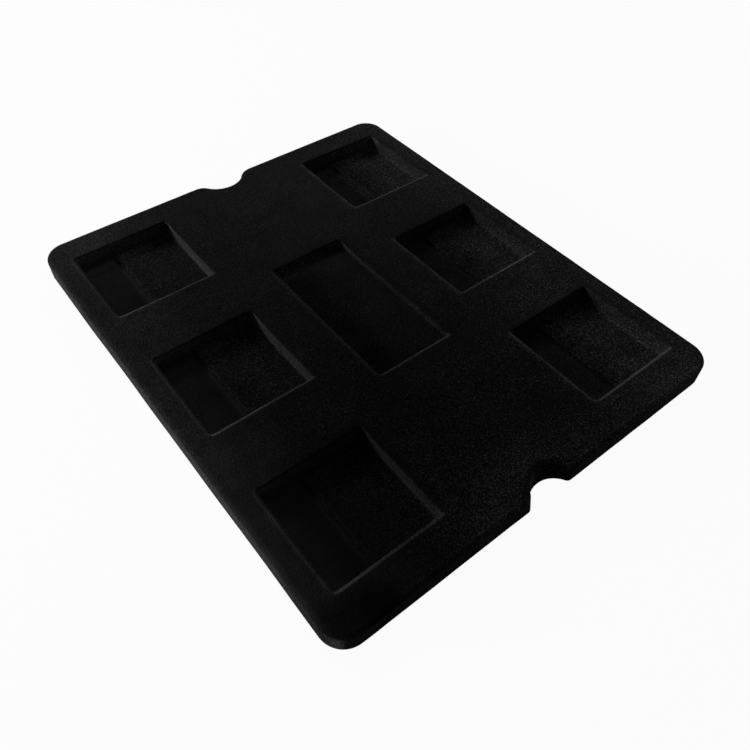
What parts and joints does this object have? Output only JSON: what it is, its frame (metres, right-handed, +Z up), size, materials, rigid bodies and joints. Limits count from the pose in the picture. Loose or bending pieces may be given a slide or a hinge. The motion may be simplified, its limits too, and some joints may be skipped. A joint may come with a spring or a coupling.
{
  "type": "medal display tray",
  "caption": "Flat flocked display tray with square medal pockets along both long sides, a shallow oblong pocket in the middle and a finger notch in each short end.",
  "frame": {"origin": "middle of the flat underside, on the surface that the tray rests on", "axes": "+X along the tray's length, +Y across its width, +Z up out of the pockets; the lower strip of each square pocket's floor is on its -Y side"},
  "size_m": [0.3, 0.251, 0.0135],
  "materials": {
    "flocked_pile": "short dense nylon flock, matt black with a faint sheen at a low angle"
  },
  "bodies": {
    "root": {"tray": "flocked_pile"}
  },
  "joints": []
}
